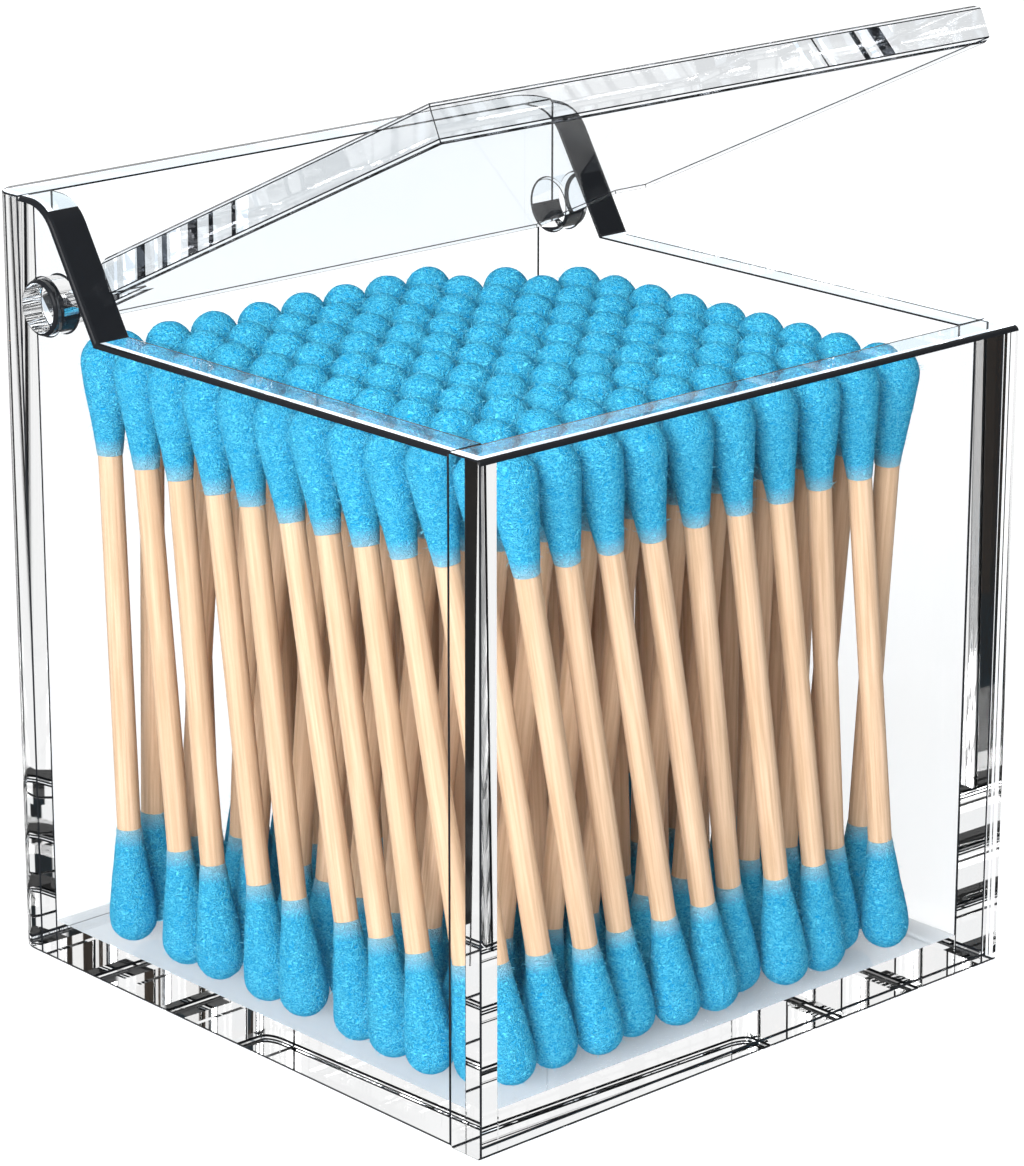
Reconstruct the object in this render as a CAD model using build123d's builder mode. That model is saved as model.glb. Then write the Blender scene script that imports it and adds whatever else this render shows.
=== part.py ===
from build123d import *
import math
import os
import random

# Clear acrylic box for cotton swabs: sheet panels bonded edge to edge, a lid that turns on
# two stub pins between a pair of ears, and the swabs that stand in it. Millimetres, +Z up,
# front towards -Y, origin at the centre of the underside.

# Box
width = 85.0
depth = 85.0
head_room = 1.0
wall = 5.0
floor_thickness = 4.0
back_corner = 3.0
bevel = 0.4

# Ears, which carry the hinge, run up from the side panels to the top of the back panel
ear_rise = 15.0
ear_foot = 14.2
ear_crown = 5.0
ear_round = 5.5

# Lid and hinge pins
lid_thickness = 4.5
lid_bevel = 0.5
lid_gap = 0.4
lid_overhang = 0.3
lid_side_gap = 0.3
lid_tail = 3.2
lid_open = 25.2
shoulder_gap = 0.45
hinge_setback = 4.9
pin_diameter = 6.7
pin_clearance = 0.1
pin_proud = 1.1
pin_bevel = 0.3

# One swab: a bamboo stick with a cotton tip at each end, drawn with flat sides
swab_length = 75.0
swab_sides = 6
stick_diameter = 2.9
tip_diameter = 5.8
tip_length = 16.4
tip_neck = 8.0
tip_dome = 3.6
tip_end_diameter = 2.8

# The bundle: rows from front to back, pushed into the front left corner. Each ring of swabs
# leans round the box, most at the front left, and the ring inside it leans the other way.
column_gap = 1.05
row_gap = 0.5
touch_gap = 0.45
wall_gap = 0.25
stand_gap = 0.05
right_strip = 5.0
back_strip = 4.7
cut_corner = 2
outer_lean = 21.0
lean_change = -0.6
lean_spread = 0.35
scatter = 0.35
settle_levels = 17
settle_rounds = 60
bundle_seed = 7

# Places that follow from the sizes above; the box is as tall as its swabs need
rim_height = floor_thickness + swab_length + head_room
back_height = rim_height + ear_rise
side_inner = width / 2 - wall
front_inner = wall - depth / 2
back_inner = depth / 2 - wall
hinge_y = back_inner - hinge_setback
hinge_z = rim_height + lid_gap + lid_thickness / 2
pin_start = side_inner - lid_side_gap
pin_end = width / 2 + pin_proud
lid_front = hinge_y + depth / 2 + lid_overhang
lid_shoulder = back_height - hinge_z + shoulder_gap

os.makedirs("parts", exist_ok=True)


def finish(piece, label):
    """Name a piece and write its file."""
    piece.part.label = label
    export_step(piece.part, f"parts/{label}.step")


# Front panel: full width, its outside edges finely bevelled
with BuildPart() as front_panel:
    with BuildSketch():
        with Locations((0, (wall - depth) / 2)):
            Rectangle(width, wall)
    extrude(amount=rim_height)
    outside = front_panel.faces().sort_by(Axis.Y)[0]
    chamfer(outside.edges().filter_by(Axis.X), bevel)
finish(front_panel, "front_panel")

# Back panel: full width and taller, with rounded upright edges at the back
with BuildPart() as back_panel:
    with BuildSketch() as back_section:
        with Locations((0, (depth - wall) / 2)):
            Rectangle(width, wall)
        fillet(back_section.vertices().group_by(Axis.Y)[-1], min(back_corner, wall * 0.9))
    extrude(amount=back_height)
    underside = back_panel.faces().sort_by(Axis.Z)[0]
    chamfer(underside.edges().sort_by(Axis.Y)[-1], bevel)
finish(back_panel, "back_panel")


def side_sheet(x_start):
    """Side panel with its ear and pin hole, from x_start inwards or outwards by one wall."""
    with BuildPart() as sheet:
        with BuildSketch(Plane.YZ.offset(x_start)) as outline:
            with BuildLine():
                Polyline(
                    (front_inner, 0),
                    (front_inner, rim_height),
                    (back_inner - ear_foot, rim_height),
                    (back_inner - ear_crown, back_height),
                    (back_inner, back_height),
                    (back_inner, 0),
                    close=True,
                )
            make_face()
            crown = outline.vertices().group_by(Axis.X)[-2]
            fillet(crown, ear_round)
            with Locations((hinge_y, hinge_z)):
                Circle(pin_diameter / 2 + pin_clearance, mode=Mode.SUBTRACT)
        extrude(amount=wall)
        outer_side = sheet.faces().sort_by(Axis.X)[0 if x_start < 0 else -1]
        border = outer_side.outer_wire().edges()
        chamfer(border.filter_by(Axis.Z, reverse=True), bevel)
    return sheet


left_panel = side_sheet(-width / 2)
finish(left_panel, "left_panel")

right_panel = side_sheet(side_inner)
finish(right_panel, "right_panel")

# Floor: let in between the four panels, flush with their lower edges
with BuildPart() as floor_panel:
    with BuildSketch():
        Rectangle(2 * side_inner, back_inner - front_inner)
    extrude(amount=floor_thickness)
finish(floor_panel, "floor_panel")

# Lid: as wide as the box in front of the ears, and a tongue between them that carries the pins.
# Its sheet lies on a plane through the hinge axis, tipped up to where the lid stands open.
tip_angle = math.radians(lid_open)
lid_plane = Plane(
    origin=(0, hinge_y, hinge_z),
    x_dir=(1, 0, 0),
    z_dir=(0, math.sin(tip_angle), math.cos(tip_angle)),
)
with BuildPart() as lid_panel:
    with BuildSketch(lid_plane.offset(-lid_thickness / 2)):
        with BuildLine():
            right_side = Polyline(
                (0, -lid_front),
                (width / 2, -lid_front),
                (width / 2, -lid_shoulder),
                (pin_start, -lid_shoulder),
                (pin_start, lid_tail),
                (0, lid_tail),
            )
            mirror(right_side, about=Plane.YZ)
        make_face()
    extrude(amount=lid_thickness)
    lid_sides = lid_panel.faces().sort_by(Axis((0, 0, 0), lid_plane.z_dir))
    chamfer(lid_sides[0].edges() + lid_sides[-1].edges(), lid_bevel)
finish(lid_panel, "lid_panel")


def hinge_pin(x_start, x_end):
    """Round stub pin bonded end-on to the lid's tongue, its free end bevelled."""
    with BuildPart() as pin:
        with BuildSketch(Plane.YZ.offset(min(x_start, x_end))):
            with Locations((hinge_y, hinge_z)):
                Circle(pin_diameter / 2)
        extrude(amount=abs(x_end - x_start))
        free_end = pin.faces().sort_by(Axis.X)[-1 if x_end > 0 else 0]
        chamfer(free_end.edges(), pin_bevel)
    return pin


left_hinge_pin = hinge_pin(-pin_start, -pin_end)
finish(left_hinge_pin, "left_hinge_pin")

right_hinge_pin = hinge_pin(pin_start, pin_end)
finish(right_hinge_pin, "right_hinge_pin")

# One swab's stick and one cotton tip, each on the swab's own axis from its lower end up
stick_length = swab_length - 2 * tip_length
end_inset = (tip_diameter - tip_end_diameter) / 2 * math.cos(math.pi / swab_sides)
neck_inset = (tip_diameter - stick_diameter) / 2 * math.cos(math.pi / swab_sides)

with BuildPart() as swab_stick:
    with BuildSketch():
        RegularPolygon(stick_diameter / 2, swab_sides)
    extrude(amount=stick_length)

with BuildPart() as swab_tip:
    with BuildSketch():
        RegularPolygon(tip_diameter / 2, swab_sides)
    extrude(amount=tip_length)
    neck_face = swab_tip.faces().sort_by(Axis.Z)[0]
    chamfer(neck_face.edges(), neck_inset, tip_neck, reference=neck_face)
    dome_face = swab_tip.faces().sort_by(Axis.Z)[-1]
    chamfer(dome_face.edges(), end_inset, tip_dome, reference=dome_face)


def needed_space(share):
    """Space that swabs need between their axes at a share of their length, more at the tips."""
    from_end = min(share, 1 - share) * swab_length
    past_belly = (from_end - (tip_length - tip_neck)) / tip_neck
    narrowing = (tip_diameter - stick_diameter) * min(max(past_belly, 0), 1)
    return tip_diameter - narrowing + touch_gap


def settle(lower, upper, low, high):
    """Push crowded swabs apart, in place, and keep their ends within the two corners."""
    pairs = [(a, b) for a in range(len(lower)) for b in range(a)]
    for _ in range(settle_rounds):
        for level in range(settle_levels + 1):
            share = level / settle_levels
            rest = 1 - share
            space = needed_space(share)
            grip = 1 / (share**2 + rest**2)
            for a, b in pairs:
                away_x = (lower[a][0] - lower[b][0]) * rest + (upper[a][0] - upper[b][0]) * share
                away_y = (lower[a][1] - lower[b][1]) * rest + (upper[a][1] - upper[b][1]) * share
                apart = math.hypot(away_x, away_y)
                if apart < space:
                    push = (space - apart) / 2 / apart * grip
                    for ends, part in ((lower, rest), (upper, share)):
                        ends[a][0] += away_x * push * part
                        ends[a][1] += away_y * push * part
                        ends[b][0] -= away_x * push * part
                        ends[b][1] -= away_y * push * part
        for spot in lower + upper:
            spot[0] = min(max(spot[0], low[0]), high[0])
            spot[1] = min(max(spot[1], low[1]), high[1])


# Where the tips stand: upper ends in rows, lower ends a step further round the same ring
reach = tip_diameter / 2
low_corner = (-side_inner + wall_gap + reach, front_inner + wall_gap + reach)
high_corner = (side_inner - right_strip - reach, back_inner - back_strip - reach)
column_pitch = tip_diameter + column_gap
row_pitch = tip_diameter + row_gap
columns = int((high_corner[0] - low_corner[0]) / column_pitch) + 1
rows = int((high_corner[1] - low_corner[1]) / row_pitch) + 1
chance = random.Random(bundle_seed)


def grid_place(column, row):
    """Even place of a swab in its column and row."""
    return low_corner[0] + column * column_pitch, low_corner[1] + row * row_pitch


def walked_place(column, row):
    """Place further round the swab's ring, by a lean that fades away from the front left."""
    ring = min(column, row, columns - 1 - column, rows - 1 - row)
    left, front = grid_place(ring, ring)
    right, back = grid_place(columns - 1 - ring, rows - 1 - ring)
    ring_width = right - left
    ring_depth = back - front
    ring_length = max(2 * (ring_width + ring_depth), tip_diameter)
    across, along = grid_place(column, row)
    if row == ring:
        start = across - left
    elif column == columns - 1 - ring:
        start = ring_width + along - front
    elif row == rows - 1 - ring:
        start = ring_width + ring_depth + right - across
    else:
        start = 2 * ring_width + ring_depth + back - along
    nearness = (1 + math.cos(2 * math.pi * start / ring_length)) / 2
    lean = outer_lean * lean_change**ring * nearness**2 * chance.uniform(1 - lean_spread, 1)
    end = (start + lean) % ring_length
    if end < ring_width:
        return left + end, front
    if end < ring_width + ring_depth:
        return right, front + end - ring_width
    if end < 2 * ring_width + ring_depth:
        return right - (end - ring_width - ring_depth), back
    return left, back - (end - 2 * ring_width - ring_depth)


upper_spots = []
lower_spots = []
for row in range(rows):
    for column in range(columns):
        from_corner = (columns - 1 - column) + (rows - 1 - row)
        if from_corner >= cut_corner:
            across, along = grid_place(column, row)
            walked_across, walked_along = walked_place(column, row)
            shift_x = chance.uniform(-scatter, scatter)
            shift_y = chance.uniform(-scatter, scatter)
            upper_spots.append([across + shift_x, along + shift_y])
            lower_spots.append([walked_across - shift_x, walked_along - shift_y])
settle(lower_spots, upper_spots, low_corner, high_corner)

# Each swab's axis, with its lower end standing on the floor
lower_tip_places = []
stick_places = []
upper_tip_places = []
for lower, upper in zip(lower_spots, upper_spots):
    lean = math.hypot(upper[0] - lower[0], upper[1] - lower[1]) / swab_length
    foot_z = floor_thickness + stand_gap + tip_end_diameter / 2 * lean
    foot = Vector(lower[0], lower[1], foot_z)
    rise = swab_length * math.sqrt(1 - lean**2)
    head = Vector(upper[0], upper[1], foot_z + rise)
    line = (head - foot).normalized()
    lower_tip_places.append(Plane(origin=foot + line * tip_length, z_dir=line * -1).location)
    stick_places.append(Plane(origin=foot + line * tip_length, z_dir=line).location)
    upper_tip_places.append(Plane(origin=head - line * tip_length, z_dir=line).location)

with BuildPart() as swab_lower_tips:
    with Locations(*lower_tip_places):
        add(swab_tip.part)
finish(swab_lower_tips, "swab_lower_tips")

with BuildPart() as swab_sticks:
    with Locations(*stick_places):
        add(swab_stick.part)
finish(swab_sticks, "swab_sticks")

with BuildPart() as swab_upper_tips:
    with Locations(*upper_tip_places):
        add(swab_tip.part)
finish(swab_upper_tips, "swab_upper_tips")

print(f"swabs {len(upper_spots)} in {rows} rows of up to {columns}")
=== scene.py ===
import math

import bmesh
import bpy
from bpy.props import FloatProperty, FloatVectorProperty, IntProperty, PointerProperty
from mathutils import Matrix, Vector


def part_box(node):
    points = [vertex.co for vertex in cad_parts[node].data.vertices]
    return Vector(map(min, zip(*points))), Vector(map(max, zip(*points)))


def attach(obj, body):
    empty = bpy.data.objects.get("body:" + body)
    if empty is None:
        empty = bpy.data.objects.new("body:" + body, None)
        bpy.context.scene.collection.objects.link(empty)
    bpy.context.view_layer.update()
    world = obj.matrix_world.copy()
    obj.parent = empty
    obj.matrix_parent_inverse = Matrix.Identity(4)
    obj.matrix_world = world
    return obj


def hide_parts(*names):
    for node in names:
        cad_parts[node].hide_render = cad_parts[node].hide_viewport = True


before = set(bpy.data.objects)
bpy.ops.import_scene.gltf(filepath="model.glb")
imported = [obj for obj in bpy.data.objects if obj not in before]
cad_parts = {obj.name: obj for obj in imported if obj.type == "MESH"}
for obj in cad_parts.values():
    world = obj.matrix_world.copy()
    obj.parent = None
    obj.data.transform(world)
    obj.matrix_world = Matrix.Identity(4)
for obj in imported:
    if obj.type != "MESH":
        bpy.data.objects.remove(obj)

bl_info = {
    "name": "Cotton Swab Holder",
    "version": (1, 0, 0),
    "blender": (4, 5, 0),
    "location": "3D View > Sidebar > Swab Holder",
    "description": "Dresses a clear box with a hinged lid and the cotton swabs that stand in it",
    "category": "Object",
}

MILLIMETRE = 0.001
MERGE_DISTANCE = 0.002 * MILLIMETRE
FLAT_ANGLE = math.radians(0.2)
CRISP_ANGLE = math.radians(28)
SMOOTH_ANGLE = math.radians(18)
WHITE = (1.0, 1.0, 1.0, 1.0)
BLACK = (0.0, 0.0, 0.0, 1.0)
PASSED_LIGHT = (0.95, 0.965, 0.975, 1.0)
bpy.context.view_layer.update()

BOX_PANELS = ("front_panel", "back_panel", "left_panel", "right_panel", "floor_panel")
LID_PIECES = ("lid_panel", "left_hinge_pin", "right_hinge_pin")

# Kinds of faces on the sheet, in the order of sheet_materials; the dark kind is near-black as painted
# dark reflection
CLEAR_FACE, PAINTED_DARK_FACE, RIM_FACE, LID_FACE, PANE_FACE, END_FACE, LINED_FACE = range(7)


def swab_lines():
    """Lower and upper end of each stick's axis, in a fixed order from left to right."""
    sticks = bmesh.new()
    sticks.from_mesh(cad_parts["swab_sticks"].data)
    bmesh.ops.remove_doubles(sticks, verts=sticks.verts, dist=MERGE_DISTANCE)
    lines = []
    met = set()
    for start in sticks.verts:
        if start.index in met:
            continue
        stick = []
        waiting = [start]
        met.add(start.index)
        while waiting:
            corner = waiting.pop()
            stick.append(corner.co.copy())
            for edge in corner.link_edges:
                other = edge.other_vert(corner)
                if other.index not in met:
                    met.add(other.index)
                    waiting.append(other)
        stick.sort(key=lambda place: place.z)
        half = len(stick) // 2
        lower = sum(stick[:half], Vector()) / half
        upper = sum(stick[half:], Vector()) / half
        lines.append((lower, upper))
    sticks.free()
    lines.sort(key=lambda line: (round(line[1].x, 5), round(line[1].y, 5)))
    return lines


def lid_slab():
    """Upward direction across the lid, its middle along that direction, and half its thickness."""
    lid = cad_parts["lid_panel"].data
    across = max(lid.polygons, key=lambda face: face.area).normal.copy()
    if across.z < 0.0:
        across.negate()
    places = [corner.co.dot(across) for corner in lid.vertices]
    return across, (max(places) + min(places)) / 2, (max(places) - min(places)) / 2


LID_ACROSS, LID_MIDDLE, LID_HALF = lid_slab()
SWAB_LINES = swab_lines()
STICK_LENGTH = max((upper - lower).length for lower, upper in SWAB_LINES)
TIP_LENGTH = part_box("swab_upper_tips")[1].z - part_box("swab_sticks")[1].z


class AcrylicSettings(bpy.types.PropertyGroup):
    """Clear sheet of the box and the lid."""

    ior: FloatProperty(
        name="Refraction", description="Refractive index of the acrylic", default=1.49, min=1.0
    )
    tint: FloatVectorProperty(
        name="Tint",
        description="Colour that light takes at each surface",
        subtype="COLOR",
        size=4,
        default=(0.992, 0.996, 0.998, 1.0),
    )
    box_easing: FloatProperty(
        name="Box Edge Easing",
        description="Width of the fine bevel along every crisp edge of the box",
        default=0.18 * MILLIMETRE,
        unit="LENGTH",
    )
    lid_easing: FloatProperty(
        name="Lid Edge Easing",
        description="Width of the fine bevel along every crisp edge of the lid",
        default=0.09 * MILLIMETRE,
        unit="LENGTH",
    )
    # Painted glow: emission on the sawn edges in place of the light carried through the sheet
    painted_edge_glow: FloatVectorProperty(
        name="Edge Glow",
        description="Light that the sawn edges of the sheet carry to the eye",
        subtype="COLOR",
        size=4,
        default=(0.80, 0.90, 1.0, 1.0),
    )
    # Painted dark reflection: near-black colour for edges and lines, in place of the unlit
    # surroundings they would show
    dark: FloatVectorProperty(
        name="Dark Lines",
        description="Colour of edges that turn the eye to unlit surroundings",
        subtype="COLOR",
        size=4,
        default=(0.010, 0.011, 0.013, 1.0),
    )


class SwabSettings(bpy.types.PropertyGroup):
    """Cotton tips on bamboo sticks."""

    stick_diameter: FloatProperty(
        name="Stick Diameter",
        description="Thickness of a bamboo stick",
        default=2.9 * MILLIMETRE,
        unit="LENGTH",
    )
    tip_diameter: FloatProperty(
        name="Tip Diameter",
        description="Widest place of a cotton tip",
        default=5.8 * MILLIMETRE,
        unit="LENGTH",
    )
    tip_length: FloatProperty(
        name="Tip Length",
        description="Length of the cotton that shows on each end of a stick",
        default=14.3 * MILLIMETRE,
        unit="LENGTH",
    )
    lump_height: FloatProperty(
        name="Lump Height",
        description="How far the wound cotton swells in and out",
        default=0.22 * MILLIMETRE,
        unit="LENGTH",
    )
    cotton: FloatVectorProperty(
        name="Cotton",
        description="Colour of the dyed cotton on its fibres",
        subtype="COLOR",
        size=4,
        default=(0.130, 0.720, 0.970, 1.0),
    )
    # Painted shade: a darker copy of the cotton colour, for between its fibres
    painted_cotton_shade: FloatVectorProperty(
        name="Cotton Depth",
        description="Colour of the dyed cotton between its fibres",
        subtype="COLOR",
        size=4,
        default=(0.006, 0.320, 0.680, 1.0),
    )
    thin_cotton: FloatVectorProperty(
        name="Thin Cotton",
        description="Colour of the cotton where it ends on the stick",
        subtype="COLOR",
        size=4,
        default=(0.420, 0.640, 0.720, 1.0),
    )
    bamboo: FloatVectorProperty(
        name="Bamboo",
        description="Colour of the bare sticks",
        subtype="COLOR",
        size=4,
        default=(0.725, 0.500, 0.340, 1.0),
    )
    bamboo_grain: FloatVectorProperty(
        name="Bamboo Grain",
        description="Colour of the darker lines in the sticks",
        subtype="COLOR",
        size=4,
        default=(0.540, 0.350, 0.212, 1.0),
    )
    fibre_length: FloatProperty(
        name="Fibre Length",
        description="Longest loose fibre that stands off the cotton",
        default=0.95 * MILLIMETRE,
        unit="LENGTH",
    )
    fibre_thickness: FloatProperty(
        name="Fibre Thickness",
        description="Thickness of a loose fibre at its root",
        default=0.07 * MILLIMETRE,
        unit="LENGTH",
    )
    fibre_density: FloatProperty(
        name="Fibre Density",
        description="Loose fibres on each square millimetre of cotton",
        default=0.8,
    )
    seed: IntProperty(name="Seed", description="Seed of all chance variation", default=3)


class StageSettings(bpy.types.PropertyGroup):
    """Floor, light and camera."""

    azimuth: FloatProperty(
        name="Azimuth",
        description="Direction of the camera round the holder",
        default=math.radians(-42.54),
        subtype="ANGLE",
    )
    elevation: FloatProperty(
        name="Elevation",
        description="Height of the camera above the horizon",
        default=math.radians(17.704),
        subtype="ANGLE",
    )
    roll: FloatProperty(
        name="Roll",
        description="Turn of the camera about its own axis",
        default=math.radians(-0.056),
        subtype="ANGLE",
    )
    distance: FloatProperty(
        name="Distance",
        description="From the camera to the place it looks at",
        default=519.5 * MILLIMETRE,
        unit="LENGTH",
    )
    aim: FloatVectorProperty(
        name="Aim",
        description="Place that the camera looks at",
        subtype="TRANSLATION",
        unit="LENGTH",
        default=(0.0, -0.95 * MILLIMETRE, 47.8 * MILLIMETRE),
    )
    lens: FloatProperty(name="Lens", description="Focal length in millimetres", default=134.4)
    fill: FloatProperty(
        name="Fill Light", description="Strength of the even light from all sides", default=0.42
    )
    key: FloatProperty(
        name="Key Light", description="Power of the large soft lamp", default=17.0, unit="POWER"
    )
    lamp_place: FloatVectorProperty(
        name="Lamp Place",
        description="Middle of the large soft lamp",
        subtype="TRANSLATION",
        unit="LENGTH",
        default=(-0.74, -0.38, 0.46),
    )
    lamp_size: FloatProperty(
        name="Lamp Size", description="Side of the square lamp", default=0.6, unit="LENGTH"
    )
    floor: FloatVectorProperty(
        name="Floor",
        description="Colour of the matt floor under the holder",
        subtype="COLOR",
        size=4,
        default=(0.80, 0.83, 0.86, 1.0),
    )
    bounces: IntProperty(
        name="Bounces", description="How often light may turn inside the clear sheet", default=48
    )


SETTINGS = {
    "holder_acrylic": AcrylicSettings,
    "holder_swabs": SwabSettings,
    "holder_stage": StageSettings,
}


def put(tree, kind, inputs=None, **options):
    """Add a node, set its options, then set or link its inputs by name or number."""
    made = tree.nodes.new(kind)
    for name, value in options.items():
        setattr(made, name, value)
    for key, value in (inputs or {}).items():
        if isinstance(value, bpy.types.NodeSocket):
            tree.links.new(value, made.inputs[key])
        else:
            made.inputs[key].default_value = value
    return made


def calculate(tree, operation, *values):
    """Result of one step of arithmetic on numbers or sockets."""
    return put(tree, "ShaderNodeMath", dict(enumerate(values)), operation=operation).outputs[0]


def mix_colour(tree, factor, first, second):
    """Colour between two others."""
    made = put(tree, "ShaderNodeMix", {0: factor, 6: first, 7: second}, data_type="RGBA")
    return made.outputs[2]


def happened(tree, count):
    """One where a count of turns of light is not nought."""
    return calculate(tree, "GREATER_THAN", count, 0.5)


def new_material(name):
    """Empty node material and its output node."""
    material = bpy.data.materials.new(name)
    material.use_nodes = True
    material.node_tree.nodes.clear()
    output = material.node_tree.nodes.new("ShaderNodeOutputMaterial")
    return material, output


def let_light_by(tree, surface, output, hidden_behind_edges=True):
    """Show a surface to the eye, but let light pass it that is on its way from lamps or matt faces.

    It also lets light pass that came straight through a clear edge, unless told otherwise.
    """
    path = put(tree, "ShaderNodeLightPath").outputs
    by = calculate(tree, "MAXIMUM", path["Is Shadow Ray"], path["Is Diffuse Ray"])
    if hidden_behind_edges:
        by = calculate(tree, "MAXIMUM", by, happened(tree, path["Transparent Depth"]))
    clear = put(tree, "ShaderNodeBsdfTransparent", {"Color": PASSED_LIGHT})
    both = put(tree, "ShaderNodeMixShader", {0: by, 1: surface, 2: clear.outputs[0]})
    tree.links.new(both.outputs[0], output.inputs["Surface"])


def clear_acrylic():
    """Polished clear sheet."""
    settings = bpy.context.scene.holder_acrylic
    material, output = new_material("polished_acrylic")
    tree = material.node_tree
    sheet = put(
        tree,
        "ShaderNodeBsdfPrincipled",
        {
            "Base Color": settings.tint,
            "Roughness": 0.0,
            "IOR": settings.ior,
            "Transmission Weight": 1.0,
        },
    )
    let_light_by(tree, sheet.outputs[0], output)
    return material


def painted_dark_edge():
    """Eased edge, painted near-black as a painted dark reflection of unlit surroundings."""
    settings = bpy.context.scene.holder_acrylic
    material, output = new_material("painted_dark_edge")
    tree = material.node_tree
    edge = put(
        tree,
        "ShaderNodeBsdfPrincipled",
        {"Base Color": settings.dark, "Roughness": 0.2, "Specular IOR Level": 0.05},
    )
    let_light_by(tree, edge.outputs[0], output, hidden_behind_edges=False)
    return material


def see_through(name, tint, look, seen_by="Is Camera Ray"):
    """Clear face that the eye sees straight through in part; look gives the share, colour and painted
    glow.
    """
    settings = bpy.context.scene.holder_acrylic
    material, output = new_material(name)
    tree = material.node_tree
    clear_share, colour, glow = look(tree, settings)
    face = put(
        tree,
        "ShaderNodeBsdfPrincipled",
        {
            "Base Color": colour,
            "Roughness": 0.02,
            "IOR": settings.ior,
            "Transmission Weight": 1.0,
            "Emission Color": glow,
            "Emission Strength": 1.0,
        },
    )
    window = put(tree, "ShaderNodeBsdfTransparent", {"Color": tint})
    direct = put(tree, "ShaderNodeLightPath").outputs[seen_by]
    share = calculate(tree, "MULTIPLY", direct, clear_share)
    seen = put(tree, "ShaderNodeMixShader", {0: share, 1: face.outputs[0], 2: window.outputs[0]})
    let_light_by(tree, seen.outputs[0], output)
    return material


def own_place(tree):
    """Object coordinates of a surface, one socket for each axis."""
    place = put(tree, "ShaderNodeTexCoord").outputs["Object"]
    return put(tree, "ShaderNodeSeparateXYZ", {0: place}).outputs


def away_from_middle(tree):
    """Distance of a surface from the upright middle planes, whichever is greater."""
    along = own_place(tree)
    aside = [calculate(tree, "ABSOLUTE", along[axis]) for axis in (0, 1)]
    return calculate(tree, "MAXIMUM", aside[0], aside[1])


def line_noise(tree, along, scale):
    """Uneven value along a line, for bars of light and dark."""
    made = put(
        tree,
        "ShaderNodeTexNoise",
        {"W": along, "Scale": scale, "Detail": 1.0},
        noise_dimensions="1D",
    )
    return made.outputs["Fac"]


def rim_edge():
    """Upper edges of the box, evenly clear with a faint painted glow beside a painted highlight line,
    with a painted dark border at the back.
    """
    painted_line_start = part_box("front_panel")[1].x - 1.35 * MILLIMETRE
    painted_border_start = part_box("back_panel")[1].y - 1.15 * MILLIMETRE
    clear_part = 0.8
    faint = 0.2

    def look(tree, settings):
        # Painted highlight along the outer side of the rim, painted dark reflection along its back
        bright = calculate(tree, "GREATER_THAN", away_from_middle(tree), painted_line_start)
        border = calculate(tree, "GREATER_THAN", own_place(tree)[1], painted_border_start)
        clear_share = calculate(tree, "MULTIPLY_ADD", bright, -clear_part, clear_part)
        colour = mix_colour(tree, border, settings.tint, settings.dark)
        glow = mix_colour(tree, bright, shaded(settings.painted_edge_glow, faint), settings.painted_edge_glow)
        return clear_share, colour, mix_colour(tree, border, glow, settings.dark)

    return see_through("rim_edge", (0.88, 0.95, 0.98, 1.0), look)


def lid_edge():
    """Edges of the lid, with painted dark and bright blocks of reflection near the hinge and at the
    front, and a faint painted glow elsewhere.
    """
    hinge_part = -5 * MILLIMETRE
    front_middle = 19 * MILLIMETRE
    front_half = 8 * MILLIMETRE
    blocks_to_metre = 330.0
    dark_above, bright_below = 0.56, 0.44
    clear_part = 0.85
    faint, strong = 0.03, 0.9

    def look(tree, settings):
        along = own_place(tree)
        near_hinge = calculate(tree, "GREATER_THAN", along[1], hinge_part)
        aside = calculate(tree, "ABSOLUTE", calculate(tree, "SUBTRACT", along[0], front_middle))
        at_front = calculate(tree, "LESS_THAN", aside, front_half)
        where = calculate(tree, "MAXIMUM", near_hinge, at_front)
        run = calculate(tree, "ADD", along[0], along[1])
        blocks = line_noise(tree, run, blocks_to_metre)
        # Painted reflection: dark blocks get the near-black colour, bright blocks a strong painted
        # glow
        dark = calculate(tree, "MULTIPLY", where, calculate(tree, "GREATER_THAN", blocks, dark_above))
        bright = calculate(tree, "MULTIPLY", where, calculate(tree, "LESS_THAN", blocks, bright_below))
        marked = calculate(tree, "MAXIMUM", dark, bright)
        clear_share = calculate(tree, "MULTIPLY_ADD", marked, -clear_part, clear_part)
        colour = mix_colour(tree, dark, settings.tint, settings.dark)
        faint_glow, strong_glow = (shaded(settings.painted_edge_glow, share) for share in (faint, strong))
        glow = mix_colour(tree, bright, faint_glow, strong_glow)
        return clear_share, colour, mix_colour(tree, dark, glow, settings.dark)

    return see_through("lid_edge", (0.73, 0.735, 0.74, 1.0), look)


def upright_end():
    """Upright ends of the front panel, which from inside the sheet show fine dark and clear lines."""
    lines_to_metre = 900.0
    clear_below = 0.56

    def look(tree, settings):
        lines = line_noise(tree, own_place(tree)[1], lines_to_metre)
        return calculate(tree, "LESS_THAN", lines, clear_below), settings.tint, BLACK

    return see_through("upright_end", (0.96, 0.97, 0.975, 1.0), look, "Is Transmission Ray")


def lid_pane():
    """Broad faces of the lid, which the eye meets at a low angle and still sees through."""
    clear_part = 0.9

    def look(tree, settings):
        return clear_part, settings.tint, BLACK

    return see_through("lid_pane", (0.895, 0.90, 0.905, 1.0), look)


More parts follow.
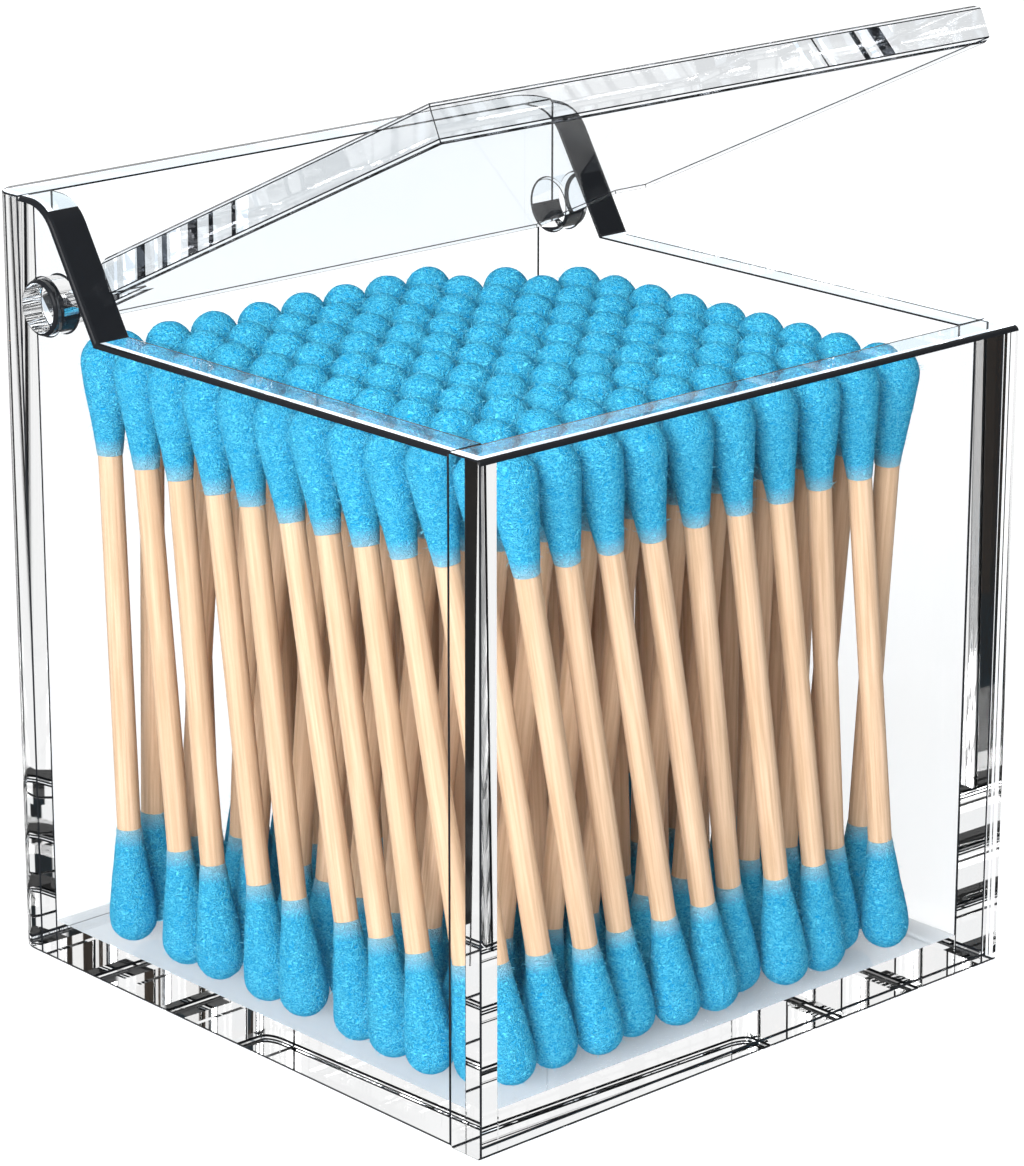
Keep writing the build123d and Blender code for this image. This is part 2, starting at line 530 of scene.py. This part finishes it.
def lid_bevel():
    """Small bevels of the lid, clear with a painted dark line of reflection along their outer side."""
    painted_line_start = LID_HALF - 0.24 * MILLIMETRE
    clear_part = 0.95

    def look(tree, settings):
        place = put(tree, "ShaderNodeTexCoord").outputs["Object"]
        across = {0: place, 1: LID_ACROSS}
        level = put(tree, "ShaderNodeVectorMath", across, operation="DOT_PRODUCT").outputs["Value"]
        away = calculate(tree, "ABSOLUTE", calculate(tree, "SUBTRACT", level, LID_MIDDLE))
        # Painted dark reflection along the outer side of each bevel
        dark = calculate(tree, "GREATER_THAN", away, painted_line_start)
        clear_share = calculate(tree, "MULTIPLY_ADD", dark, -clear_part, clear_part)
        return clear_share, mix_colour(tree, dark, settings.tint, settings.dark), BLACK

    return see_through("lid_bevel", (0.90, 0.905, 0.91, 1.0), look)


def sheet_materials():
    """Materials of a sheet in the order of its kinds of faces, made once."""
    makers = {
        "polished_acrylic": clear_acrylic,
        "painted_dark_edge": painted_dark_edge,
        "rim_edge": rim_edge,
        "lid_edge": lid_edge,
        "lid_pane": lid_pane,
        "upright_end": upright_end,
        "lid_bevel": lid_bevel,
    }
    return [bpy.data.materials.get(name) or make() for name, make in makers.items()]


def fibre_grain():
    """Shader group: fine grain along a swab, differing from one swab to the next."""
    name = "fibre_grain"
    if name in bpy.data.node_groups:
        return bpy.data.node_groups[name]
    tone_spread = 40.0
    inputs = {"Stretch": "Vector", "Scale": "Float", "Curl": "Float", "Contrast": "Float"}
    group = bpy.data.node_groups.new(name, "ShaderNodeTree")
    sockets = group.interface
    for label, kind in inputs.items():
        sockets.new_socket(label, in_out="INPUT", socket_type="NodeSocket" + kind)
    for label in ("Shade", "Height"):
        sockets.new_socket(label, in_out="OUTPUT", socket_type="NodeSocketFloat")
    given = group.nodes.new("NodeGroupInput").outputs
    place = put(group, "ShaderNodeAttribute", attribute_name="swab_place").outputs["Vector"]
    tone = put(group, "ShaderNodeAttribute", attribute_name="tone").outputs["Fac"]
    drawn = put(group, "ShaderNodeMapping", {"Vector": place, "Scale": given["Stretch"]})
    grain = put(
        group,
        "ShaderNodeTexNoise",
        {
            "Vector": drawn.outputs[0],
            "W": calculate(group, "MULTIPLY", tone, tone_spread),
            "Scale": given["Scale"],
            "Detail": 2.0,
            "Roughness": 0.5,
            "Distortion": given["Curl"],
        },
        noise_dimensions="4D",
    ).outputs["Fac"]
    centred = calculate(group, "SUBTRACT", grain, 0.5)
    fibre = calculate(group, "MULTIPLY_ADD", centred, given["Contrast"], 0.5)
    shade = put(group, "ShaderNodeClamp", {"Value": fibre}).outputs[0]
    put(group, "NodeGroupOutput", {"Shade": shade, "Height": shade})
    return group


def shaded(colour, factor):
    """Colour made darker by a factor below one, or paler by one above."""
    if factor > 1:
        return tuple(channel + (1 - channel) * (factor - 1) for channel in colour[:3]) + (1.0,)
    return tuple(channel * factor for channel in colour[:3]) + (1.0,)


def dyed_cotton():
    """Blue felted cotton, with painted shade making it darker between its fibres, and thin where it
    meets the stick.
    """
    ragged_edge = 0.7 * MILLIMETRE
    thin_start, thin_end = 0.2 * MILLIMETRE, 2.4 * MILLIMETRE
    thinnest = 0.85
    felt_depth = 0.28 * MILLIMETRE
    settings = bpy.context.scene.holder_swabs
    material, output = new_material("dyed_cotton")
    tree = material.node_tree
    felt = put(
        tree,
        "ShaderNodeGroup",
        {"Stretch": (1.0, 1.0, 1.6), "Scale": 2600.0, "Curl": 1.6, "Contrast": 3.2},
        node_tree=fibre_grain(),
    ).outputs
    # Fibre pattern that mixes the cotton colour on the fibres with painted shade between them
    colour = mix_colour(tree, felt["Shade"], settings.painted_cotton_shade, settings.cotton)
    place = put(tree, "ShaderNodeAttribute", attribute_name="swab_place").outputs["Vector"]
    along = put(tree, "ShaderNodeSeparateXYZ", {0: place}).outputs[2]
    ragged = calculate(tree, "MULTIPLY_ADD", felt["Height"], ragged_edge, along)
    bare = put(
        tree,
        "ShaderNodeMapRange",
        {
            "Value": ragged,
            "From Min": thin_start,
            "From Max": thin_end,
            "To Min": thinnest,
            "To Max": 0.0,
        },
    )
    thinned = mix_colour(tree, bare.outputs[0], colour, settings.thin_cotton)
    bump = put(
        tree,
        "ShaderNodeBump",
        {"Height": felt["Height"], "Strength": 1.0, "Distance": felt_depth},
    )
    cotton = put(
        tree,
        "ShaderNodeBsdfPrincipled",
        {
            "Base Color": thinned,
            "Roughness": 0.95,
            "Specular IOR Level": 0.05,
            "Normal": bump.outputs[0],
        },
    )
    tree.links.new(cotton.outputs[0], output.inputs["Surface"])
    return material


def loose_fibres():
    """Pale blue fibres that stand off the cotton, paler than it as painted backlight."""
    # Painted backlight: the fibres take a paler copy of the cotton colour
    paler = 1.1
    settings = bpy.context.scene.holder_swabs
    material, output = new_material("loose_fibres")
    tree = material.node_tree
    fibre = put(
        tree,
        "ShaderNodeBsdfPrincipled",
        {
            "Base Color": shaded(settings.cotton, paler),
            "Roughness": 0.9,
            "Specular IOR Level": 0.1,
        },
    )
    tree.links.new(fibre.outputs[0], output.inputs["Surface"])
    return material


def bare_bamboo():
    """Pale bamboo with grain along each stick, some sticks a little darker than others."""
    darkest = 0.35
    grain_depth = -0.04 * MILLIMETRE
    settings = bpy.context.scene.holder_swabs
    material, output = new_material("bare_bamboo")
    tree = material.node_tree
    grain = put(
        tree,
        "ShaderNodeGroup",
        {"Stretch": (1.0, 1.0, 0.03), "Scale": 2900.0, "Curl": 0.1, "Contrast": 3.0},
        node_tree=fibre_grain(),
    ).outputs
    colour = mix_colour(tree, grain["Shade"], settings.bamboo, settings.bamboo_grain)
    tone = put(tree, "ShaderNodeAttribute", attribute_name="tone").outputs["Fac"]
    depth = put(tree, "ShaderNodeMapRange", {"Value": tone, "To Min": 0.0, "To Max": darkest})
    toned = mix_colour(tree, depth.outputs[0], colour, settings.bamboo_grain)
    bump = put(
        tree,
        "ShaderNodeBump",
        {"Height": grain["Height"], "Strength": 0.3, "Distance": grain_depth},
    )
    wood = put(
        tree,
        "ShaderNodeBsdfPrincipled",
        {
            "Base Color": toned,
            "Roughness": 0.6,
            "Specular IOR Level": 0.25,
            "Normal": bump.outputs[0],
        },
    )
    tree.links.new(wood.outputs[0], output.inputs["Surface"])
    return material


def face_kind(name, face, thickness):
    """Kind of a CAD face, by the sheet that it is on and the way that it looks."""
    bevel_rise, rim_rise, ear_rise = 0.3, 0.8, 0.1
    upward = face.normal.z
    across = abs(face.normal.dot(thickness))
    narrow = across < 0.1
    bevel = 0.5 < across < 0.9
    if name == "lid_panel":
        if bevel:
            return LINED_FACE
        return LID_FACE if narrow else PANE_FACE
    if name in LID_PIECES:
        return PAINTED_DARK_FACE if bevel else CLEAR_FACE
    # Upward bevels and narrow sloping faces get the painted dark reflection
    if bevel and upward > bevel_rise:
        return PAINTED_DARK_FACE
    if narrow and upward > rim_rise:
        return RIM_FACE
    if narrow and upward > ear_rise:
        return PAINTED_DARK_FACE
    if name == "front_panel" and abs(face.normal.x) > 0.9:
        return END_FACE
    return CLEAR_FACE


def beside_floor(place):
    """Whether a place lies in the joint round the floor, which stays unbroken."""
    low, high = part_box("floor_panel")
    margin = MERGE_DISTANCE
    return all(low[axis] - margin < place[axis] < high[axis] + margin for axis in range(3))


def far_on_lid(place):
    """Whether a place on the lid is above its lower edges and away from its front and left ends."""
    lower_part = -0.7 * LID_HALF
    front_depth = 3 * MILLIMETRE
    left_depth = 1.5 * MILLIMETRE
    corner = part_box("lid_panel")[0]
    above = place.dot(LID_ACROSS) - LID_MIDDLE > lower_part
    return above and place.y > corner.y + front_depth and place.x > corner.x + left_depth


def sheet_copy(name, eased_edge):
    """Merged copy of a CAD sheet whose crisp edges are finely eased, with painted dark reflection on
    them but for far ones.
    """
    copy = bpy.data.objects.new(name + "_copy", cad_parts[name].data.copy())
    bpy.context.scene.collection.objects.link(copy)
    copy.data.attributes.remove(copy.data.attributes["custom_normal"])
    copy.data.materials.clear()
    for material in sheet_materials():
        copy.data.materials.append(material)
    shape = bmesh.new()
    shape.from_mesh(copy.data)
    bmesh.ops.remove_doubles(shape, verts=shape.verts, dist=MERGE_DISTANCE)
    bmesh.ops.dissolve_limit(shape, angle_limit=FLAT_ANGLE, verts=shape.verts, edges=shape.edges)
    thickness = Vector((1.0, 0.0, 0.0))
    if "pin" not in name:
        thickness = max(shape.faces, key=lambda face: face.calc_area()).normal.copy()
    for face in shape.faces:
        face.material_index = face_kind(name, face, thickness)
    crisp = [
        edge
        for edge in shape.edges
        if edge.calc_face_angle() > CRISP_ANGLE and not all(beside_floor(end.co) for end in edge.verts)
    ]
    # The new bevel faces get the painted dark reflection
    bmesh.ops.bevel(
        shape, geom=crisp, offset=eased_edge, segments=1, affect="EDGES", material=PAINTED_DARK_FACE
    )
    if name == "lid_panel":
        eased = [face for face in shape.faces if face.material_index == PAINTED_DARK_FACE]
        for face in eased:
            if far_on_lid(face.calc_center_median()):
                face.material_index = PANE_FACE
    shape.to_mesh(copy.data)
    shape.free()
    return copy


def bonded(names, label, eased_edge):
    """One clear piece from CAD sheets that are bonded face to face."""
    sheets = [sheet_copy(name, eased_edge) for name in names]
    for sheet in sheets[1:]:
        bond = sheets[0].modifiers.new("bond", "BOOLEAN")
        bond.operation = "UNION"
        bond.solver = "MANIFOLD"
        bond.object = sheet
    ready = bpy.context.evaluated_depsgraph_get()
    mesh = bpy.data.meshes.new_from_object(sheets[0].evaluated_get(ready))
    mesh.name = label
    for sheet in sheets:
        bpy.data.objects.remove(sheet)
    mesh.shade_smooth()
    mesh.set_sharp_from_angle(angle=SMOOTH_ANGLE)
    piece = bpy.data.objects.new(label, mesh)
    bpy.context.scene.collection.objects.link(piece)
    return piece


class HOLDER_OT_box(bpy.types.Operator):
    """Bond the five panels into one clear box"""

    bl_idname = "holder.box"
    bl_label = "Acrylic Box"

    def execute(self, context):
        box = bonded(BOX_PANELS, "acrylic_box", context.scene.holder_acrylic.box_easing)
        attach(box, "holder")
        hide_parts(*BOX_PANELS)
        return {"FINISHED"}


class HOLDER_OT_lid(bpy.types.Operator):
    """Bond the stub pins to the clear lid"""

    bl_idname = "holder.lid"
    bl_label = "Hinged Lid"

    def execute(self, context):
        lid = bonded(LID_PIECES, "acrylic_lid", context.scene.holder_acrylic.lid_easing)
        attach(lid, "lid")
        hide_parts(*LID_PIECES)
        return {"FINISHED"}


def node_tree(name, inputs):
    """Geometry node tree with named inputs, and the nodes at its two ends."""
    tree = bpy.data.node_groups.new(name, "GeometryNodeTree")
    sockets = tree.interface
    sockets.new_socket("Geometry", in_out="INPUT", socket_type="NodeSocketGeometry")
    for label, kind in inputs:
        sockets.new_socket(label, in_out="INPUT", socket_type="NodeSocket" + kind)
    sockets.new_socket("Geometry", in_out="OUTPUT", socket_type="NodeSocketGeometry")
    start = tree.nodes.new("NodeGroupInput")
    end = tree.nodes.new("NodeGroupOutput")
    return tree, start.outputs, end


def grown(carrier, tree, values, label):
    """Plain mesh that a node tree grows from the carrier, as a piece of its own."""
    modifier = carrier.modifiers.new("grow", "NODES")
    modifier.node_group = tree
    for socket in tree.interface.items_tree:
        if socket.in_out == "INPUT" and socket.name in values:
            modifier[socket.identifier] = values[socket.name]
    ready = bpy.context.evaluated_depsgraph_get()
    mesh = bpy.data.meshes.new_from_object(carrier.evaluated_get(ready))
    mesh.name = label
    carrier.modifiers.remove(modifier)
    piece = bpy.data.objects.new(label, mesh)
    bpy.context.scene.collection.objects.link(piece)
    return piece


def swab_points(label, starts, directions):
    """Carrier with one point per swab and the direction that it leans in."""
    mesh = bpy.data.meshes.new(label)
    mesh.from_pydata([tuple(place) for place in starts], [], [])
    lean = mesh.attributes.new("lean", "FLOAT_VECTOR", "POINT")
    for item, direction in zip(lean.data, directions):
        item.vector = direction
    carrier = bpy.data.objects.new(label, mesh)
    bpy.context.scene.collection.objects.link(carrier)
    return carrier


def stand_on_points(tree, points, shape, seed):
    """Instances of a shape on the points, leaning as they say, turned and toned by chance."""
    lean = put(tree, "GeometryNodeInputNamedAttribute", {"Name": "lean"}, data_type="FLOAT_VECTOR")
    upright = put(tree, "FunctionNodeAlignRotationToVector", {"Vector": lean.outputs[0]}, axis="Z")
    turn = put(tree, "FunctionNodeRandomValue", {3: 2 * math.pi, "Seed": seed}, data_type="FLOAT")
    about = put(tree, "ShaderNodeCombineXYZ", {2: turn.outputs[1]})
    turned = put(
        tree,
        "FunctionNodeRotateRotation",
        {"Rotation": upright.outputs[0], "Rotate By": about.outputs[0]},
        rotation_space="LOCAL",
    )
    stood = put(
        tree,
        "GeometryNodeInstanceOnPoints",
        {"Points": points, "Instance": shape, "Rotation": turned.outputs[0]},
    )
    chance = put(tree, "FunctionNodeRandomValue", {"Seed": seed}, data_type="FLOAT")
    toned = put(
        tree,
        "GeometryNodeStoreNamedAttribute",
        {"Geometry": stood.outputs[0], "Name": "tone", "Value": chance.outputs[1]},
        data_type="FLOAT",
        domain="INSTANCE",
    )
    return put(tree, "GeometryNodeRealizeInstances", {"Geometry": toned.outputs[0]}).outputs[0]


def turned_shape(tree, given, heights, widths, rows, sides):
    """Round shape along Z whose height and radius follow two drawn curves, with its place kept."""
    line = put(tree, "GeometryNodeCurvePrimitiveLine", {"End": (0.0, 0.0, 1.0)})
    divided = put(tree, "GeometryNodeResampleCurve", {"Curve": line.outputs[0], "Count": rows})
    row = put(tree, "GeometryNodeSplineParameter").outputs["Index"]
    share = calculate(tree, "DIVIDE", row, rows - 1)
    height = calculate(tree, "MULTIPLY", drawn_curve(tree, share, heights), given["Length"])
    place = put(tree, "ShaderNodeCombineXYZ", {2: height})
    raised = put(
        tree,
        "GeometryNodeSetPosition",
        {"Geometry": divided.outputs[0], "Position": place.outputs[0]},
    )
    radius = calculate(tree, "MULTIPLY", drawn_curve(tree, share, widths), given["Radius"])
    ring = put(tree, "GeometryNodeCurvePrimitiveCircle", {"Resolution": sides, "Radius": 1.0})
    turned = put(
        tree,
        "GeometryNodeCurveToMesh",
        {
            "Curve": raised.outputs[0],
            "Profile Curve": ring.outputs[0],
            "Scale": radius,
            "Fill Caps": True,
        },
    )
    position = put(tree, "GeometryNodeInputPosition").outputs[0]
    kept = put(
        tree,
        "GeometryNodeStoreNamedAttribute",
        {"Geometry": turned.outputs[0], "Name": "swab_place", "Value": position},
        data_type="FLOAT_VECTOR",
        domain="POINT",
    )
    return kept.outputs[0]


def drawn_curve(tree, share, points):
    """Value of a smooth curve through points from 0 to 1."""
    made = put(tree, "ShaderNodeFloatCurve", {"Value": share})
    curve = made.mapping.curves[0]
    for place, value in points[1:-1]:
        curve.points.new(place, value)
    curve.points[0].location = points[0]
    curve.points[-1].location = points[-1]
    made.mapping.update()
    return made.outputs[0]


def tip_outline():
    """Heights and radii along a tip, as shares of its length and widest radius."""
    settings = bpy.context.scene.holder_swabs
    neck = settings.stick_diameter / settings.tip_diameter
    dome_start = 0.79
    dome_share = 0.55
    heights = [(0.0, 0.0), (0.28, 0.40)]
    radii = [(0.0, neck * 1.04), (0.07, neck * 1.16), (0.20, 0.70), (0.34, 0.85), (0.46, 0.965)]
    steps = 5
    for step in range(steps + 1):
        angle = math.radians(90) * step / steps
        share = dome_share + (1 - dome_share) * step / steps
        heights.append((share, dome_start + (1 - dome_start) * math.sin(angle)))
        radii.append((share, math.cos(angle)))
    return heights, radii


def tip_tree(material):
    """Tree that stands a cotton tip on each point and swells it unevenly."""
    inputs = (("Length", "Float"), ("Radius", "Float"), ("Lumps", "Float"), ("Seed", "Int"))
    tree, given, end = node_tree("cotton_tips", inputs)
    heights, widths = tip_outline()
    tip = turned_shape(tree, given, heights, widths, rows=24, sides=20)
    stood = stand_on_points(tree, given["Geometry"], tip, given["Seed"])
    noise = put(tree, "ShaderNodeTexNoise", {"Scale": 420.0, "Detail": 2.0})
    centred = calculate(tree, "SUBTRACT", noise.outputs["Fac"], 0.5)
    swell = calculate(tree, "MULTIPLY", centred, given["Lumps"])
    outward = put(
        tree,
        "ShaderNodeVectorMath",
        {0: put(tree, "GeometryNodeInputNormal").outputs[0], "Scale": swell},
        operation="SCALE",
    )
    lumpy = put(tree, "GeometryNodeSetPosition", {"Geometry": stood, "Offset": outward.outputs[0]})
    finish_tree(tree, lumpy.outputs[0], material, end)
    return tree


def finish_tree(tree, shape, material, end):
    """Smooth shading and the material, at the end of a tree."""
    merged = put(tree, "GeometryNodeMergeByDistance", {"Geometry": shape, "Distance": MERGE_DISTANCE})
    smooth = put(tree, "GeometryNodeSetShadeSmooth", {"Geometry": merged.outputs[0]})
    real = put(tree, "GeometryNodeRealizeInstances", {"Geometry": smooth.outputs[0]})
    painted = put(
        tree, "GeometryNodeSetMaterial", {"Geometry": real.outputs[0], "Material": material}
    )
    tree.links.new(painted.outputs[0], end.inputs[0])


def stick_tree(material):
    """Tree that stands a round stick on each point."""
    inputs = (("Length", "Float"), ("Radius", "Float"), ("Seed", "Int"))
    tree, given, end = node_tree("bamboo_sticks", inputs)
    straight = [(0.0, 0.0), (1.0, 1.0)]
    even = [(0.0, 1.0), (1.0, 1.0)]
    stick = turned_shape(tree, given, straight, even, rows=6, sides=16)
    stood = stand_on_points(tree, given["Geometry"], stick, given["Seed"])
    finish_tree(tree, stood, material, end)
    return tree


def fuzz_tree(material):
    """Tree that stands thin loose fibres on a surface, leaning by chance."""
    tilt, turn, shortest = 1.1, 6.3, 0.35
    inputs = (("Length", "Float"), ("Thickness", "Float"), ("Density", "Float"), ("Seed", "Int"))
    tree, given, end = node_tree("cotton_fuzz", inputs)
    spread = put(
        tree,
        "GeometryNodeDistributePointsOnFaces",
        {"Mesh": given["Geometry"], "Density": given["Density"], "Seed": given["Seed"]},
    ).outputs
    root = calculate(tree, "DIVIDE", given["Thickness"], 2.0)
    spike = put(
        tree,
        "GeometryNodeMeshCone",
        {"Vertices": 3, "Radius Top": 0.0, "Radius Bottom": root, "Depth": given["Length"]},
        fill_type="NGON",
    )
    lean = put(
        tree,
        "FunctionNodeRandomValue",
        {"Min": (-tilt, -tilt, 0.0), "Max": (tilt, tilt, turn), "Seed": given["Seed"]},
        data_type="FLOAT_VECTOR",
    )
    leaning = put(
        tree,
        "FunctionNodeRotateRotation",
        {"Rotation": spread["Rotation"], "Rotate By": lean.outputs[0]},
        rotation_space="LOCAL",
    )
    size = put(
        tree,
        "FunctionNodeRandomValue",
        {2: shortest, 3: 1.0, "Seed": given["Seed"]},
        data_type="FLOAT",
    )
    stood = put(
        tree,
        "GeometryNodeInstanceOnPoints",
        {
            "Points": spread["Points"],
            "Instance": spike.outputs[0],
            "Rotation": leaning.outputs[0],
            "Scale": size.outputs[1],
        },
    )
    finish_tree(tree, stood.outputs[0], material, end)
    return tree


class HOLDER_OT_swabs(bpy.types.Operator):
    """Stand a detailed swab on the axis of each CAD swab"""

    bl_idname = "holder.swabs"
    bl_label = "Cotton Swabs"

    def execute(self, context):
        settings = context.scene.holder_swabs
        axes = [(upper - lower).normalized() for lower, upper in SWAB_LINES]
        bared = TIP_LENGTH - settings.tip_length
        lower_ends = [lower - axis * bared for (lower, upper), axis in zip(SWAB_LINES, axes)]
        upper_ends = [upper + axis * bared for (lower, upper), axis in zip(SWAB_LINES, axes)]
        tips = tip_tree(dyed_cotton())
        sticks = stick_tree(bare_bamboo())
        down = [-axis for axis in axes]
        groups = (
            ("swab_sticks", "bamboo_sticks", sticks, lower_ends, axes, "bamboo"),
            ("swab_upper_tips", "upper_cotton_tips", tips, upper_ends, axes, "blue_cotton"),
            ("swab_lower_tips", "lower_cotton_tips", tips, lower_ends, down, "blue_cotton"),
        )
        fuzz = fuzz_tree(loose_fibres())
        for node, label, tree, starts, directions, slot in groups:
            stick = node == "swab_sticks"
            diameter = settings.stick_diameter if stick else settings.tip_diameter
            values = {
                "Length": STICK_LENGTH + 2 * bared if stick else settings.tip_length,
                "Radius": diameter / 2,
                "Lumps": settings.lump_height,
                "Seed": settings.seed,
            }
            carrier = swab_points(label + "_points", starts, directions)
            piece = grown(carrier, tree, values, label)
            bpy.data.objects.remove(carrier)
            piece.visible_glossy = False
            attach(piece, "holder")
            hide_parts(node)
            if not stick:
                self.add_fuzz(piece, fuzz, settings)
        return {"FINISHED"}

    def add_fuzz(self, tips, tree, settings):
        """Stand loose fibres on a piece of cotton tips."""
        values = {
            "Length": settings.fibre_length,
            "Thickness": settings.fibre_thickness,
            "Density": settings.fibre_density / MILLIMETRE**2,
            "Seed": settings.seed,
        }
        fuzz = grown(tips, tree, values, tips.name.replace("tips", "fuzz"))
        fuzz.visible_glossy = False
        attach(fuzz, "holder")


def seen_share(tree, path):
    """One for light that goes to the eye, straight or by way of the clear sheet."""
    mirrored = calculate(tree, "MAXIMUM", path["Is Camera Ray"], path["Is Glossy Ray"])
    return calculate(tree, "MAXIMUM", mirrored, path["Is Transmission Ray"])


def studio_floor():
    """Wide pale floor, matt with soft shadows under the holder and plain white round it."""
    reach = 4.0
    drop = 0.05 * MILLIMETRE
    half_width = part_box("front_panel")[1].x
    matt_until = half_width - 6 * MILLIMETRE
    white_from = half_width + 4 * MILLIMETRE
    dimmed = 0.4
    mesh = bpy.data.meshes.new("studio_floor")
    signs = ((-1, -1), (1, -1), (1, 1), (-1, 1))
    corners = [(x * reach, y * reach, 0.0) for x, y in signs]
    mesh.from_pydata(corners, [], [(0, 1, 2, 3)])
    floor = bpy.data.objects.new("studio_floor", mesh)
    floor.location.z = -drop
    bpy.context.scene.collection.objects.link(floor)
    material, output = new_material("pale_floor")
    tree = material.node_tree
    outside = put(
        tree,
        "ShaderNodeMapRange",
        {"Value": away_from_middle(tree), "From Min": matt_until, "From Max": white_from},
        interpolation_type="SMOOTHSTEP",
    )
    path = put(tree, "ShaderNodeLightPath").outputs
    plain = calculate(tree, "MULTIPLY", outside.outputs[0], seen_share(tree, path))
    colour = bpy.context.scene.holder_stage.floor
    pale = put(
        tree,
        "ShaderNodeBsdfPrincipled",
        {
            "Base Color": mix_colour(tree, plain, colour, shaded(colour, dimmed)),
            "Roughness": 0.9,
            "Specular IOR Level": 0.0,
            "Emission Color": mix_colour(tree, plain, BLACK, WHITE),
            "Emission Strength": 1.0,
        },
    )
    bent = happened(tree, path["Glossy Depth"])
    clear = put(tree, "ShaderNodeBsdfTransparent")
    shown = put(tree, "ShaderNodeMixShader", {0: bent, 1: pale.outputs[0], 2: clear.outputs[0]})
    tree.links.new(shown.outputs[0], output.inputs["Surface"])
    mesh.materials.append(material)


def soft_step(tree, value, edge, least):
    """Strength that rises from the least to one while a value passes nought, within an edge."""
    steps = {"Value": value, "From Min": -edge, "From Max": edge, "To Min": least, "To Max": 1.0}
    return put(tree, "ShaderNodeMapRange", steps).outputs[0]


def studio_light():
    """Even white surroundings and one large soft lamp from the front left.

    Light that the sheet has mirrored sees dark quarters, and dark stripes above the horizon.
    """
    dim = 0.02
    sector_edge, stripe_edge = 0.08, 0.15
    stripe_count = 60.0
    overhead = 0.3
    settings = bpy.context.scene.holder_stage
    world = bpy.data.worlds.new("white_surroundings")
    bpy.context.scene.world = world
    world.use_nodes = True
    tree = world.node_tree
    tree.nodes.clear()
    path = put(tree, "ShaderNodeLightPath").outputs
    seen = seen_share(tree, path)
    bent = happened(tree, path["Glossy Depth"])
    direction = put(tree, "ShaderNodeTexCoord").outputs["Generated"]
    along = put(tree, "ShaderNodeSeparateXYZ", {0: direction}).outputs
    quarter = calculate(tree, "MULTIPLY", along[0], along[1])
    raised = calculate(tree, "MAXIMUM", along[2], 0.0)
    quarter = calculate(tree, "MULTIPLY_ADD", raised, overhead, quarter)
    angle = calculate(tree, "ARCTAN2", along[1], along[0])
    wave = calculate(tree, "SINE", calculate(tree, "MULTIPLY", angle, stripe_count))
    sectors = soft_step(tree, quarter, sector_edge, dim)
    stripes = soft_step(tree, wave, stripe_edge, dim)
    upward = calculate(tree, "GREATER_THAN", along[2], 0.0)
    striped = calculate(tree, "MULTIPLY", upward, stripes)
    banded = calculate(tree, "MAXIMUM", striped, sectors)
    mirrored = put(tree, "ShaderNodeMix", {0: bent, 2: 1.0, 3: banded}, data_type="FLOAT")
    strength = put(
        tree, "ShaderNodeMix", {0: seen, 2: settings.fill, 3: mirrored.outputs[0]}, data_type="FLOAT"
    )
    white = put(tree, "ShaderNodeBackground", {"Color": WHITE, "Strength": strength.outputs[0]})
    put(tree, "ShaderNodeOutputWorld", {"Surface": white.outputs[0]})
    lamp = bpy.data.lights.new("key_lamp", "AREA")
    lamp.energy = settings.key
    lamp.size = settings.lamp_size
    placed = bpy.data.objects.new("key_lamp", lamp)
    bpy.context.scene.collection.objects.link(placed)
    placed.location = settings.lamp_place
    placed.rotation_mode = "QUATERNION"
    toward = Vector(settings.aim) - Vector(settings.lamp_place)
    placed.rotation_quaternion = toward.to_track_quat("-Z", "Y")


def studio_camera():
    """Camera at the photographed angle."""
    settings = bpy.context.scene.holder_stage
    data = bpy.data.cameras.new("camera")
    data.lens = settings.lens
    data.sensor_width = 36.0
    data.clip_start = 10 * MILLIMETRE
    camera = bpy.data.objects.new("camera", data)
    bpy.context.scene.collection.objects.link(camera)
    level = math.cos(settings.elevation)
    back = Vector(
        (
            math.sin(settings.azimuth) * level,
            -math.cos(settings.azimuth) * level,
            math.sin(settings.elevation),
        )
    )
    camera.location = Vector(settings.aim) + back * settings.distance
    camera.rotation_euler = (math.pi / 2 - settings.elevation, settings.roll, settings.azimuth)
    bpy.context.scene.camera = camera


class HOLDER_OT_stage(bpy.types.Operator):
    """Set up the pale floor, the soft light and the camera"""

    bl_idname = "holder.stage"
    bl_label = "Stage"

    def execute(self, context):
        studio_floor()
        studio_light()
        studio_camera()
        context.scene.view_settings.view_transform = "Standard"
        bounces = context.scene.holder_stage.bounces
        context.scene.cycles.max_bounces = bounces
        context.scene.cycles.transmission_bounces = bounces
        context.scene.cycles.glossy_bounces = bounces
        return {"FINISHED"}


class HOLDER_PT_panel(bpy.types.Panel):
    """Pieces of the swab holder"""

    bl_idname = "HOLDER_PT_panel"
    bl_label = "Swab Holder"
    bl_space_type = "VIEW_3D"
    bl_region_type = "UI"
    bl_category = "Swab Holder"

    def draw(self, context):
        for operator in OPERATORS:
            self.layout.operator(operator.bl_idname)
        for name, group in SETTINGS.items():
            box = self.layout.box()
            for key in group.__annotations__:
                box.prop(getattr(context.scene, name), key)


OPERATORS = (HOLDER_OT_box, HOLDER_OT_lid, HOLDER_OT_swabs, HOLDER_OT_stage)
CLASSES = (*SETTINGS.values(), *OPERATORS, HOLDER_PT_panel)


def register():
    """Make the settings, operators and panel known."""
    for kind in CLASSES:
        bpy.utils.register_class(kind)
    for name, group in SETTINGS.items():
        setattr(bpy.types.Scene, name, PointerProperty(type=group))


def unregister():
    """Take the settings, operators and panel away again."""
    for name in SETTINGS:
        delattr(bpy.types.Scene, name)
    for kind in reversed(CLASSES):
        bpy.utils.unregister_class(kind)


def main():
    """Build every piece and the stage."""
    register()
    bpy.ops.holder.box()
    bpy.ops.holder.lid()
    bpy.ops.holder.swabs()
    bpy.ops.holder.stage()


if __name__ == "__main__":
    main()
